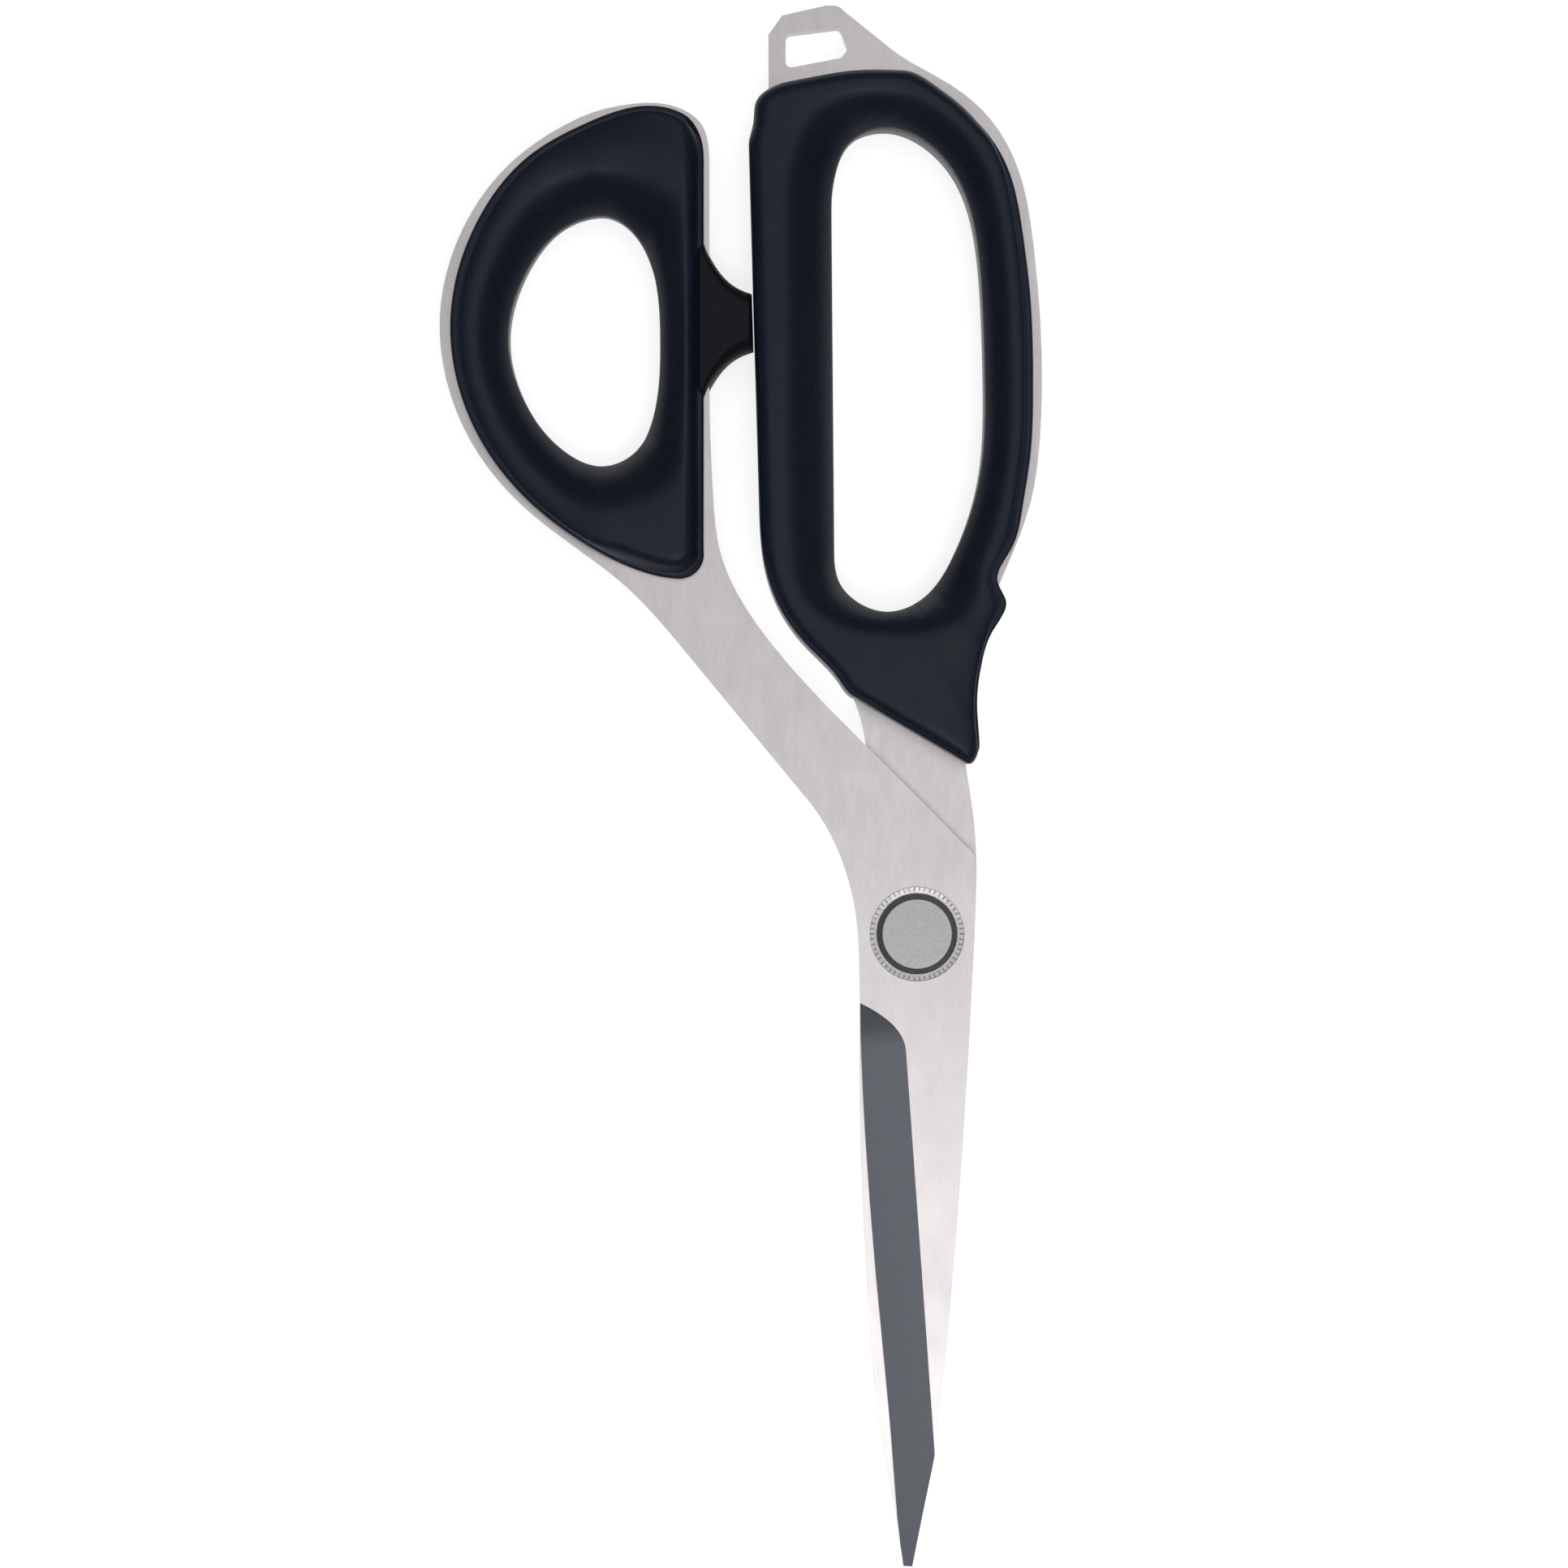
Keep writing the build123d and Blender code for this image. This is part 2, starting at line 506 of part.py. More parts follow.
def serrated_washer():
    """Slightly dished washer under the nut's head, with fine radial teeth on the ring that shows."""
    r_in = JOURNAL_R + JOURNAL_FIT
    ring_in = HEAD_R + EDGE_BREAK / 2
    z_out = Z_NUT_HEAD + CUP_RISE
    section = Polyline((r_in, 0, Z_CUP_FLOOR), (CUP_R, 0, Z_CUP_FLOOR), (CUP_R, 0, z_out),
                       (ring_in, 0, Z_NUT_HEAD), (r_in, 0, Z_NUT_HEAD), close=True)
    washer = revolve(make_face(section), Axis.Z)
    run = CUP_R - ring_in
    tooth = Rot(45, 0, 0) * Box(run, TOOTH_W, TOOTH_W)
    tooth = Rot(0, -degrees(atan2(CUP_RISE, run)), 0) * tooth
    tooth = Pos(CUP_R - run / 2 + EDGE_BREAK, 0, Z_NUT_HEAD + CUP_RISE / 2 + TOOTH_LIFT) * tooth
    teeth = [Rot(0, 0, i * 360 / CUP_TEETH) * tooth for i in range(CUP_TEETH)]
    return washer - teeth


def thrust_washer():
    """Plain washer that the plates turn against, half sunk in each."""
    return ring(THRUST_R, JOURNAL_R + 0.1, Z_RIDE - THRUST_T / 2, Z_RIDE + THRUST_T / 2)


def disc_spring():
    """Conical spring washer between the screw head and the finger blade."""
    r_in = JOURNAL_R + 0.15
    z_low = SCREW_HEAD_UP + AXIAL_FIT
    z_high = SCREW_SINK - AXIAL_FIT
    section = Polyline((r_in, 0, z_high), (r_in, 0, z_high - SPRING_T), (SPRING_R, 0, z_low),
                       (SPRING_R, 0, z_low + SPRING_T), close=True)
    return revolve(make_face(section), Axis.Z)


def tension_screw():
    """Slotted screw from the rear; its thread is a plain shank."""
    head = bore(SCREW_HEAD_R, -SCREW_PROUD, SCREW_HEAD_UP)
    head = chamfer(head.edges().group_by(Axis.Z)[0], 2 * EDGE_BREAK)
    shank = bore(THREAD_R, SCREW_HEAD_UP, Z_THREAD_TOP - EDGE_BREAK)
    shank = chamfer(shank.edges().group_by(Axis.Z)[-1], 2 * EDGE_BREAK)
    slot = Pos(0, 0, -SCREW_PROUD) * Box(3 * SCREW_HEAD_R, SLOT_W, 2 * SCREW_PROUD)
    return head + shank - slot


# ---- assembly ----

def main():
    """Build every piece in place and write one STEP file for each."""
    thumb = thumb_blade()
    finger = finger_blade()
    stop = closing_stop(thumb)
    thumb_core = grip_core(thumb_core_outline(), thumb_opening(SKIN), thumb)
    thumb_core += thumb_core_flange(thumb_opening(SKIN), thumb)
    finger_core = grip_core(finger_grip_outline(skin=SKIN), finger_opening(SKIN), finger)
    thumb_cover = grip_cover(thumb_grip_outline(LEDGE_W, FLANGE_W), thumb_opening())
    finger_cover = grip_cover(finger_grip_outline(LEDGE_W), finger_opening())
    pieces = {
        "thumb_blade": thumb,
        "finger_blade": finger,
        "thumb_grip_core": thumb_core - stop,
        "finger_grip_core": finger_core,
        "thumb_grip_cover": thumb_cover - thumb_core - thumb - stop,
        "finger_grip_cover": finger_cover - finger_core - finger,
        "closing_stop": stop,
        "pivot_nut": pivot_nut(),
        "serrated_washer": serrated_washer(),
        "thrust_washer": thrust_washer(),
        "disc_spring": disc_spring(),
        "tension_screw": tension_screw(),
    }
    os.makedirs("parts", exist_ok=True)
    for name, shape in pieces.items():
        export_step(shape, "parts/" + name + ".step")


if __name__ == "__main__":
    main()
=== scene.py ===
import math

import bmesh
import bpy
import numpy as np
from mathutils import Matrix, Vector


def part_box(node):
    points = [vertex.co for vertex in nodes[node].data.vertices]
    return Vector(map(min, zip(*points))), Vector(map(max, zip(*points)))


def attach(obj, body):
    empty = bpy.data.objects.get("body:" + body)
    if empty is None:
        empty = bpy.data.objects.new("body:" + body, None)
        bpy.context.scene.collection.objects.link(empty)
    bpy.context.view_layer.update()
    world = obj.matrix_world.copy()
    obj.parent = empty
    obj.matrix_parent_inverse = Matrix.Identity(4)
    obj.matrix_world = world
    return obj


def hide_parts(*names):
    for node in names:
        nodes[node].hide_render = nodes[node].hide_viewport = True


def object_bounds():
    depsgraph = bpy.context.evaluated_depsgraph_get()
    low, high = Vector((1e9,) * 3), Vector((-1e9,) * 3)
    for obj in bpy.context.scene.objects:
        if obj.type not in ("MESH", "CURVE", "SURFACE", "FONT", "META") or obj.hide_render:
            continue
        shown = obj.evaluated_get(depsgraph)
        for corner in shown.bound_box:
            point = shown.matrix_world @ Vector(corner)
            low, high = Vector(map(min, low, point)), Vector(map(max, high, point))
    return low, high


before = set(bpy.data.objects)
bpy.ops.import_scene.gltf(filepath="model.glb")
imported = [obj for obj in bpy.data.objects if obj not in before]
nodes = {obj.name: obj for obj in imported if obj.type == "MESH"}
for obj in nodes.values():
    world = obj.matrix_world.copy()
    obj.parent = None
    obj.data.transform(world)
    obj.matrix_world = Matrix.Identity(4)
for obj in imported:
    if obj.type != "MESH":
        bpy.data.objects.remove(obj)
cad_low, cad_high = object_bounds()

# Fabric shears lying flat. Metres; +Y runs from the blades to the handles, +Z to the front.
MM = 0.001

# ---- camera and light ----
VIEW_X = -0.0212          # middle of the view
VIEW_Y = 0.0239
VIEW_SIDE = 0.2512        # side of the square view at the blades
CAMERA_UP = 0.52          # above the thumb blade's rear face
SENSOR_MM = 36.0
SOFTBOX_AT = (0.125, 0.01, 1.0)
SOFTBOX_SIDES = (0.85, 1.25)
SOFTBOX_POWER = 3.4
BLADE_LIGHT_AT = (0.04, -0.31, 0.98)      # past the tips; it brightens the blades there
BLADE_LIGHT_SIDES = (0.24, 0.26)
BLADE_LIGHT_POWER = 0.80
ROOM_DOWN = (0.9, 0.9, 0.9, 1)            # the room's light from below the horizon, and from overhead
ROOM_UP = (0.26, 0.26, 0.268, 1)
ROOM_BETWEEN = ((0.03, 0.80), (0.10, 0.12), (0.76, 0.12), (0.84, 0.26))     # height, level
ROOM_BLUE = 1.03          # blue in those levels, against red and green
FLOOR_R = 5.0
FLOOR_GLOW = 0.74

# ---- steel, in millimetres ----
EDGE_BREAK = 0.12         # small bevels on the plates' sharp edges
BEVEL_UPRIGHT = (0.3, 0.985)              # the Z of the ground bevel's normals lies between these
BEVEL_ROUGH = 0.22

# ---- grips, in millimetres ----
THUMB_CRESTS = (11.0, 8.2, 9.0, 9.0)      # opening to the crest: right, top, left, bottom
FINGER_CRESTS = (12.0, 8.2, 9.2, 4.5)
CREST_MOST = 0.76         # and at most this share of the band's width
CROWN_SHARE = 0.2         # past the crest a cover falls by this share of the distance left to its edge,
CROWN_LEAST = 0.3         # by at least this much,
CROWN_POWER = 1.6         # and steeper and steeper
EDGE_LIFT = 0.25          # the covers' edge stands this far above the core beside it
LIP_R = 0.7               # rounding of the covers' edge along the ledge,
LIP_DROP = 0.3            # and its height
RIM_STEEP = 0.82          # the covers fall this share of their crest's distance into the opening,
RIM_POWER = 2.2           # steeper and steeper, to a short straight wall
RIM_MOST = 0.85           # the fall is at most this share of the crest's height
WALL_R = 2.0              # rounding of their edge where it turns down the side
PLAIN_DROP = 2.2          # and how far below the crest it is, where no ledge shows
LEDGE_SHOWS = 0.3         # a ledge this wide counts in full
SMOOTHINGS = 8            # rounds of smoothing of a cover's height
GROOVE = 0.10             # undercut where a cover meets its core,
GROOVE_TOP = 0.9          # up to this share of the height of the cover's edge
FLANGE_T = 1.4            # low flange of a core, over each face of the steel
FLANGE_INSET = 0.7        # where the core is drawn in more than this, only its flange shows,
FLANGE_BLEND = 0.5        # and the change takes this much more
CORE_IN = 2.2             # width of the modelled ring of core
CORE_ROUND = 0.45         # rounding of its edges
AROUND_STEP = 0.7         # spacing of a grip's mesh round the opening and along its outline
OUTLINE_STEP = 0.45
ACROSS = 32               # mesh rows from the opening to the outline
SHORTEST_OPENING = 30     # an opening is the shortest loop of a slice that is longer than this
BELOW_RIM = 2.7           # slices: below the rounding of the openings' rims,
BELOW_FACE = 0.5          # just below a cover's face,
INTO_CORE = 0.6           # and just inside a core's or the stop's face
LOOP_STEP = 0.1           # spacing of points on a smoothed outline,
CORE_STEP = 0.25          # on the core's near its face,
RAY_STEP = 0.05           # and on an opening, where rays start
SEAT_MARGIN = 0.3         # round the closing stop's seat in the core
SEAT_DEPTH = 0.05         # the seat's points lie deeper than this in the core's side

# ---- closing stop, in millimetres ----
STOP_KEY = 2.1            # its flanks are read this far out from its root,
STOP_SUNK = 0.9           # and its visible part starts this far out
STOP_FLANK_R = 2.2        # rounding of its flanks, and of its landing face
STOP_FLANK_POWER = 1.8
STOP_FACE_R = 0.7
STOP_FACE_SHARE = 0.3     # share of its thickness that is rounded off at the landing face
STOP_EDGE = 0.6           # half thickness left at its thinnest
STOP_COLUMNS = 36
STOP_ROWS = 28

# ---- tones, dark and light ----
BLADE_TONES = ((0.41, 0.387, 0.391, 1), (0.52, 0.491, 0.497, 1))
BEVEL_TONES = ((0.46, 0.50, 0.55, 1), (0.52, 0.565, 0.615, 1))
PIVOT_TONES = ((0.29, 0.280, 0.283, 1), (0.36, 0.348, 0.352, 1))
WASHER_TONES = ((0.30, 0.296, 0.296, 1), (0.44, 0.43, 0.43, 1))
SPRING_TONES = ((0.3, 0.3, 0.32, 1), (0.4, 0.4, 0.42, 1))
POLYMER_TONES = ((0.5, 0.48, 0.42, 1), (0.6, 0.58, 0.52, 1))
STOP_TONES = ((0.008, 0.010, 0.014, 1), (0.012, 0.0145, 0.019, 1))
GRIP_TONES = ((0.0060, 0.0110, 0.0225, 1), (0.0105, 0.0180, 0.0360, 1))


# ---- outlines taken from the CAD nodes ----

def slice_loops(node, z):
    """The closed outlines of a CAD node at one height, the longest first, in millimetres."""
    bm = bmesh.new()
    bm.from_mesh(nodes[node].data)
    bmesh.ops.remove_doubles(bm, verts=bm.verts, dist=2e-6)
    cut = bmesh.ops.bisect_plane(bm, geom=bm.verts[:] + bm.edges[:] + bm.faces[:],
                                 plane_co=(0, 0, z), plane_no=(0, 0, 1), dist=1e-7)["geom_cut"]
    links = {}
    for edge in (g for g in cut if isinstance(g, bmesh.types.BMEdge)):
        a, b = edge.verts
        links.setdefault(a, []).append(b)
        links.setdefault(b, []).append(a)
    loops = []
    left = set(links)
    while left:
        first = min(left, key=lambda v: (v.co.x, v.co.y))
        loop, here = [], first
        while here is not None:
            loop.append((here.co.x / MM, here.co.y / MM))
            left.discard(here)
            here = next((v for v in links[here] if v in left), None)
        loops.append(np.array(loop))
    bm.free()
    return sorted(loops, key=lambda p: -np.ptp(p[:, 1]))


def turned_left(loop):
    """The loop running counterclockwise."""
    x, y = loop[:, 0], loop[:, 1]
    area = np.sum(x * np.roll(y, -1) - np.roll(x, -1) * y)
    return loop if area > 0 else loop[::-1]


def smooth_loop(loop, step):
    """Points a step apart on a smooth closed curve through the loop's points."""
    keep = [p for i, p in enumerate(loop) if np.hypot(*(p - loop[i - 1])) > 0.02]
    p = turned_left(np.array(keep))
    gap = np.sqrt(np.hypot(*(np.roll(p, -1, 0) - p).T))
    out = []
    for i in range(len(p)):
        a, b, c, d = (p[(i + k) % len(p)] for k in (-1, 0, 1, 2))
        g0, g1, g2 = gap[i - 1], gap[i], gap[(i + 1) % len(p)]
        m1 = (b - a) / g0 - (c - a) / (g0 + g1) + (c - b) / g1
        m2 = (c - b) / g1 - (d - b) / (g1 + g2) + (d - c) / g2
        count = max(1, int(round(np.hypot(*(c - b)) / step)))
        for t in np.arange(count) / count:
            h = [2 * t ** 3 - 3 * t ** 2 + 1, t ** 3 - 2 * t ** 2 + t,
                 3 * t ** 2 - 2 * t ** 3, t ** 3 - t ** 2]
            out.append(h[0] * b + h[1] * g1 * m1 + h[2] * c + h[3] * g1 * m2)
    return np.array(out)


def outward(loop):
    """Unit normals that point out of a counterclockwise loop."""
    run = np.roll(loop, -1, 0) - np.roll(loop, 1, 0)
    normal = np.stack([run[:, 1], -run[:, 0]], 1)
    return normal / np.hypot(*normal.T)[:, None]


def cast(origins, ways, loop):
    """Where rays first meet a loop."""
    a, b = loop, np.roll(loop, -1, 0)
    run = b - a
    hits = []
    for o, w in zip(origins, ways):
        den = w[0] * run[:, 1] - w[1] * run[:, 0]
        den = np.where(np.abs(den) < 1e-12, 1e-12, den)
        off = a - o
        t = (off[:, 0] * run[:, 1] - off[:, 1] * run[:, 0]) / den
        s = (off[:, 0] * w[1] - off[:, 1] * w[0]) / den
        ok = (t > 0.01) & (s >= -1e-6) & (s <= 1 + 1e-6)
        hits.append(o + w * t[ok].min())
    return np.array(hits)


def distance_to(points, loop):
    """Distance from each point to a loop."""
    a, b = loop, np.roll(loop, -1, 0)
    run = b - a
    size = (run ** 2).sum(1)
    best = np.full(len(points), 1e9)
    for i, p in enumerate(points):
        t = np.clip(((p - a) * run).sum(1) / size, 0, 1)
        best[i] = np.hypot(*(p - a - run * t[:, None]).T).min()
    return best


def inside(points, loop):
    """True where a point lies inside a loop."""
    x0, y0 = loop[:, 0], loop[:, 1]
    x1, y1 = np.roll(x0, -1), np.roll(y0, -1)
    found = np.zeros(len(points), bool)
    for i, (x, y) in enumerate(points):
        over = (y0 > y) != (y1 > y)
        cross = x0[over] + (y - y0[over]) / (y1[over] - y0[over]) * (x1[over] - x0[over])
        found[i] = np.count_nonzero(cross > x) % 2 == 1
    return found


def blurred(values, width):
    """Values round a closed loop, smoothed over a number of places."""
    reach = 3 * width
    weight = np.exp(-0.5 * (np.arange(-reach, reach + 1) / width) ** 2)
    weight /= weight.sum()
    return sum(w * np.roll(values, k) for w, k in zip(weight, range(-reach, reach + 1)))


def spokes(inner, outer):
    """Matched points on an opening and an outline, joined square to the opening."""
    dense = smooth_loop(inner, RAY_STEP)
    normal = outward(dense)
    normal = np.stack([blurred(normal[:, 0], 6), blurred(normal[:, 1], 6)], 1)
    far = cast(dense, normal, outer)
    step_in = np.hypot(*(np.roll(dense, -1, 0) - dense).T) / AROUND_STEP
    step_out = np.hypot(*(np.roll(far, -1, 0) - far).T) / OUTLINE_STEP
    run = np.concatenate([[0], np.cumsum(np.hypot(step_in, step_out))])
    count = int(round(run[-1]))
    at = np.linspace(0, run[-1], count, endpoint=False)
    pick = [np.interp(at, run, np.append(v[:, k], v[0, k])) for v in (dense, far) for k in (0, 1)]
    return np.stack(pick[:2], 1), np.stack(pick[2:], 1)


# ---- mesh building ----

def new_object(name, verts, faces, material, body, slot, *stands_for):
    """A smooth-shaded piece from points in metres, riding on its body."""
    mesh = bpy.data.meshes.new(name)
    mesh.from_pydata([tuple(v) for v in verts], [], faces)
    mesh.validate()
    mesh.shade_smooth()
    piece = bpy.data.objects.new(name, mesh)
    bpy.context.scene.collection.objects.link(piece)
    piece.data.materials.append(material)
    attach(piece, body)
    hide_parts(*stands_for)
    return piece


def closed_rings(rings):
    """Verts and faces of a tube of matched rings whose last ring meets its first."""
    count = len(rings[0])
    verts = np.concatenate(rings)
    faces = []
    for j in range(len(rings)):
        a, b = j * count, (j + 1) % len(rings) * count
        for i in range(count):
            k = (i + 1) % count
            faces.append((a + i, a + k, b + k, b + i))
    return verts, faces


def rise(t, power):
    """A quarter of a superellipse, from 0 at t = 0 to 1 at t = 1."""
    t = np.clip(t, 0, 1)
    return (1 - (1 - t) ** power) ** (1 / power)


def ease(t):
    """A smooth step from 0 to 1."""
    t = np.clip(t, 0, 1)
    return t * t * (3 - 2 * t)


def cover_loops(node):
    """The cover's outline, and its opening below the rounding of the rim."""
    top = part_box(node)[1].z
    below = [p for p in slice_loops(node, top - BELOW_RIM * MM) if np.ptp(p[:, 1]) > SHORTEST_OPENING]
    return slice_loops(node, top - BELOW_FACE * MM)[0], below[-1]


def core_outline(core, plate, stop):
    """The core's outline where it is widest, with the closing stop's seat filled in."""
    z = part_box(plate)[1].z + FLANGE_T / 2 * MM
    outline = slice_loops(core, z)[0]
    if stop:
        stop_low, stop_high = (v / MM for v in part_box(stop))
        side = outline[:, 0].max()
        let_in = ((outline[:, 0] < side - SEAT_DEPTH)
                  & (outline[:, 0] > stop_low.x - SEAT_MARGIN)
                  & (outline[:, 1] > stop_low.y - SEAT_MARGIN)
                  & (outline[:, 1] < stop_high.y + SEAT_MARGIN))
        outline = outline[~let_in]
    return smooth_loop(outline, LOOP_STEP)


def core_levels(points, core, plate):
    """Heights of the core above and below the middle beside each point: its full ones or its flange's."""
    low, high = (v.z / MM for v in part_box(core))
    plate_low, plate_high = (v.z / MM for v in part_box(plate))
    middle = (low + high) / 2
    thick = smooth_loop(slice_loops(core, (low + INTO_CORE) * MM)[0], CORE_STEP)
    inset = distance_to(points, thick) * np.where(inside(points, thick), 0, 1)
    full = blurred(1 - ease((inset - FLANGE_INSET) / FLANGE_BLEND), 2)
    up = full * (high - middle) + (1 - full) * (plate_high + FLANGE_T - middle)
    down = full * (middle - low) + (1 - full) * (middle - plate_low + FLANGE_T)
    return full, up, down


def crest_distance(aim, reach, sides):
    """How far from the opening the crest runs, from its distances on the four sides."""
    right, top, left, bottom = sides
    across = np.where(aim[:, 0] > 0, right, left) * aim[:, 0] ** 2
    along = np.where(aim[:, 1] > 0, top, bottom) * aim[:, 1] ** 2
    return blurred(np.minimum(across + along, CREST_MOST * reach), 6)


def grip_cover(node, core, plate, stop, crest_sides, body, material):
    """The soft cover of a grip: a ring that falls from its crest into the opening."""
    low, high = (v.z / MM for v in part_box(node))
    middle, half = (low + high) / 2, (high - low) / 2
    outline, opening = cover_loops(node)
    outer = smooth_loop(outline, LOOP_STEP)
    inner, far = spokes(opening, outer)
    span = np.hypot(*(far - inner).T)
    reach = blurred(span, 8)
    r_in = crest_distance((far - inner) / span[:, None], reach, crest_sides)
    widest = core_outline(core, plate, stop)
    beside = far + outward(far) * distance_to(far, widest)[:, None]
    full, up, down = core_levels(beside, core, plate)
    shows = blurred(ease(distance_to(far, widest) / LEDGE_SHOWS * np.where(inside(far, widest), 1, -1)), 3)
    u = 0.5 - 0.5 * np.cos(np.pi * np.arange(ACROSS + 1) / ACROSS)
    places = inner[None] + (far - inner)[None] * u[:, None, None]
    d_in = u[:, None] * span[None]
    d_out = distance_to(places.reshape(-1, 2), outer).reshape(len(u), -1)
    width = blurred(span, 20)
    past = np.clip((d_in - r_in) / np.maximum(width - r_in, 1.0), 0, 1)
    on_ledge = shows * full
    soft = blurred(on_ledge, 16)
    wall_r = LIP_R * on_ledge + WALL_R * (1 - on_ledge)
    power = 2.0 - 0.6 * shows * (1 - full)
    sides = []
    for level in (up, down):
        most = half - level.max() - EDGE_LIFT - LIP_DROP
        beyond = np.clip(CROWN_SHARE * (width - r_in), CROWN_LEAST, most)
        crest = half + soft * (level.max() + EDGE_LIFT + LIP_DROP + beyond - half)
        fall = soft * beyond
        edge = shows * (level + EDGE_LIFT) + (1 - shows) * (crest - PLAIN_DROP)
        steep = np.minimum(RIM_STEEP * r_in, RIM_MOST * crest)
        top = crest - steep * (1 - np.clip(d_in / r_in, 0, 1)) ** RIM_POWER
        top -= fall * past ** CROWN_POWER
        height = top - (crest - fall - edge) * (1 - rise(d_out / wall_r, power))
        for _ in range(SMOOTHINGS):
            around = (np.roll(height, 1, 1) + np.roll(height, -1, 1)) / 2
            across = (height[:-2] + height[2:]) / 2
            height[2:-2] = 0.4 * height[2:-2] + 0.35 * around[2:-2] + 0.25 * across[1:-1]
        sides.append(height)
    front, rear = sides
    rings = [np.column_stack([places[j], middle + front[j]]) for j in range(len(u))]
    tuck = far - outward(far) * (GROOVE * shows)[:, None]
    for share in (GROOVE_TOP, 0.0):
        rings.append(np.column_stack([tuck, middle + share * front[-1]]))
    rings.append(np.column_stack([tuck, middle - GROOVE_TOP * rear[-1]]))
    rings += [np.column_stack([places[j], middle - rear[j]]) for j in range(len(u) - 1, -1, -1)]
    verts, faces = closed_rings(rings)
    return new_object(node + "_moulded", verts * MM, faces, material, body, "grip_cover", node)


def grip_core(node, plate, stop, cover, body, material):
    """The outer ring of a grip's hard core, which shows past the cover as a ledge or a thin flange."""
    low, high = (v.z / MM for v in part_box(node))
    middle = (low + high) / 2
    inner, far = spokes(cover_loops(cover)[1], core_outline(node, plate, stop))
    full, up, down = core_levels(far, node, plate)
    span = np.hypot(*(far - inner).T)
    aim = (far - inner) / span[:, None]
    turn = outward(far)
    square = np.maximum((aim * turn).sum(1), 0.2)
    root = far - aim * np.minimum(blurred(CORE_IN / square, 4), 0.5 * span)[:, None]
    rings = [np.column_stack([root, middle - down]), np.column_stack([root, middle + up])]
    quarter = [math.radians(18 * k) for k in range(6)]
    for level, way, angles in ((up, 1, quarter), (down, -1, quarter[::-1])):
        for a in angles:
            out = far - turn * CORE_ROUND * (1 - math.sin(a))
            rings.append(np.column_stack([out, middle + way * (level - CORE_ROUND * (1 - math.cos(a)))]))
    verts, faces = closed_rings(rings)
    return new_object(node + "_moulded", verts * MM, faces, material, body, "grip_core", node)


def closing_stop(material):
    """The flared bumper: a rounded neck whose face lands on the finger grip."""
    node = "closing_stop"
    low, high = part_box(node)
    loop = turned_left(slice_loops(node, high.z - INTO_CORE * MM)[0])
    root = low.x / MM
    face = high.x / MM
    middle = (low.z + high.z) / 2 / MM
    half = (high.z - low.z) / 2 / MM
    mid_y = loop[loop[:, 0] > face - INTO_CORE][:, 1].mean()
    flanks = []
    for way in (1, -1):
        side = loop[(loop[:, 1] - mid_y) * way > 0]
        side = side[np.argsort(side[:, 0])]
        flanks.append(side[side[:, 0] > root + STOP_KEY])
    upper, lower = flanks
    start = root + STOP_SUNK
    columns, rows = STOP_COLUMNS, STOP_ROWS
    t = 0.5 - 0.5 * np.cos(np.pi * np.arange(columns + 1) / columns)
    v = -np.cos(np.pi * np.arange(rows + 1) / rows)
    top_x = start + (upper[:, 0].max() - start) * t
    low_x = start + (lower[:, 0].max() - start) * t
    top = np.column_stack([top_x, np.interp(top_x, upper[:, 0], upper[:, 1])])
    bottom = np.column_stack([low_x, np.interp(low_x, lower[:, 0], lower[:, 1])])
    grid = bottom[:, None] + (top - bottom)[:, None] * ((v + 1) / 2)[None, :, None]
    d_side = np.minimum(np.abs(grid[..., 1] - top[:, None, 1]), np.abs(grid[..., 1] - bottom[:, None, 1]))
    d_face = np.maximum(grid[-1, :, 0][None] - grid[..., 0], 0)
    at_face = 1 - STOP_FACE_SHARE + STOP_FACE_SHARE * rise(d_face / STOP_FACE_R, 2.0)
    height = STOP_EDGE + (half - STOP_EDGE) * rise(d_side / STOP_FLANK_R, STOP_FLANK_POWER) * at_face
    verts, faces = [], []
    for way in (1, -1):
        for i in range(columns + 1):
            verts += [(x, y, middle + way * h) for (x, y), h in zip(grid[i], height[i])]
    size = (columns + 1) * (rows + 1)

    def at(side, i, j):
        return side * size + i * (rows + 1) + j

    for i in range(columns):
        for j in range(rows):
            faces.append((at(0, i, j), at(0, i + 1, j), at(0, i + 1, j + 1), at(0, i, j + 1)))
            faces.append((at(1, i, j), at(1, i, j + 1), at(1, i + 1, j + 1), at(1, i + 1, j)))
        faces.append((at(0, i, 0), at(1, i, 0), at(1, i + 1, 0), at(0, i + 1, 0)))
        faces.append((at(0, i, rows), at(0, i + 1, rows), at(1, i + 1, rows), at(1, i, rows)))
    for j in range(rows):
        faces.append((at(0, 0, j), at(0, 0, j + 1), at(1, 0, j + 1), at(1, 0, j)))
        faces.append((at(0, columns, j), at(1, columns, j), at(1, columns, j + 1), at(0, columns, j + 1)))
    return new_object("closing_stop_moulded", np.array(verts) * MM, faces, material, "thumb_side",
                      "stop_rubber", node)


# ---- materials ----

